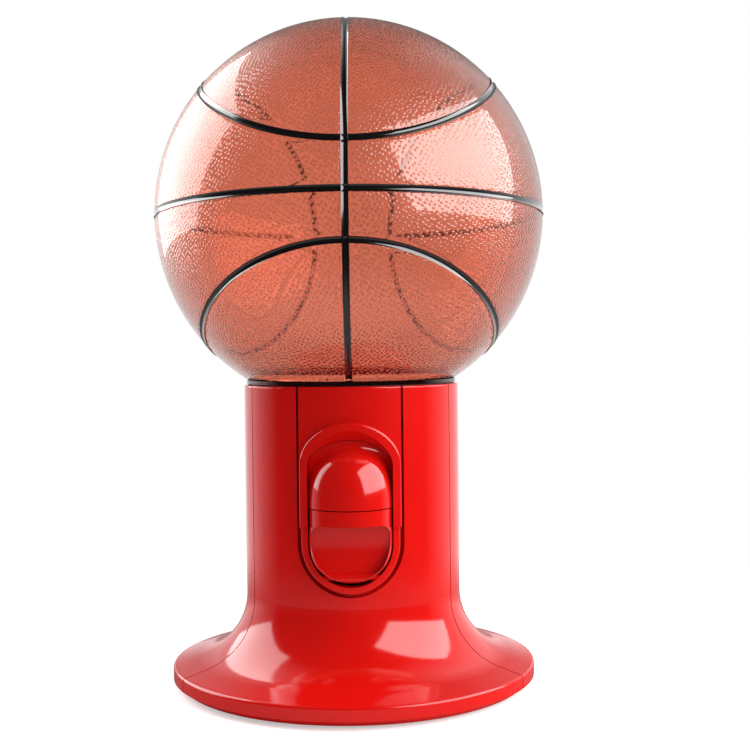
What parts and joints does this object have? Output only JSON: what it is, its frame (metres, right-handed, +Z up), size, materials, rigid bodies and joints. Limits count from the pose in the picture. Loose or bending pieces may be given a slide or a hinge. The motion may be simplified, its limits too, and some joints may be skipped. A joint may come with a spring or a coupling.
{
  "type": "gumball machine",
  "caption": "Desktop gumball machine: tinted see-through ball globe with dark seam lines on a flared red stand, with a domed outlet and a tilt-out tray door.",
  "frame": {"origin": "On the floor, under the axis of the globe and the round stand.", "axes": "+Z up; the tray door faces -Y; +X is to the right as seen from the front."},
  "size_m": [0.153, 0.153, 0.261],
  "materials": {
    "tinted_ball": "pebbled tinted clear plastic",
    "tinted_neck": "smooth tinted clear plastic",
    "red_plastic": "glossy moulded",
    "inner_plastic": "satin moulded",
    "seal_rubber": "matt",
    "foot_rubber": "matt",
    "steel": "zinc plated"
  },
  "bodies": {
    "stand": {"neck_seal": "seal_rubber", "hopper": "inner_plastic", "front_shell": "red_plastic", "rear_shell": "red_plastic", "front_panel": "red_plastic", "outlet_hood": "red_plastic", "chute_frame": "inner_plastic", "bottom_cover": "red_plastic", "hinge_pin": "red_plastic", "shell_screws": "steel", "chute_screws": "steel", "foot_1": "foot_rubber", "foot_2": "foot_rubber", "foot_3": "foot_rubber", "foot_4": "foot_rubber"},
    "tray": {"tray_door": "red_plastic", "tray_scoop": "inner_plastic", "scoop_screws": "steel"},
    "ball": {"globe": "tinted_ball", "neck_ring": "tinted_neck"}
  },
  "joints": [
    {"name": "tray_tilt", "type": "hinge", "parent": "stand", "child": "tray", "pos_m": [0, -0.0418, 0.0477], "axis": [1, 0, 0], "range_deg": [0, 32]},
    {"name": "globe_twist", "type": "hinge", "parent": "stand", "child": "ball", "pos_m": [0, 0, 0.118], "axis": [0, 0, 1], "range_deg": [0, 30]}
  ]
}
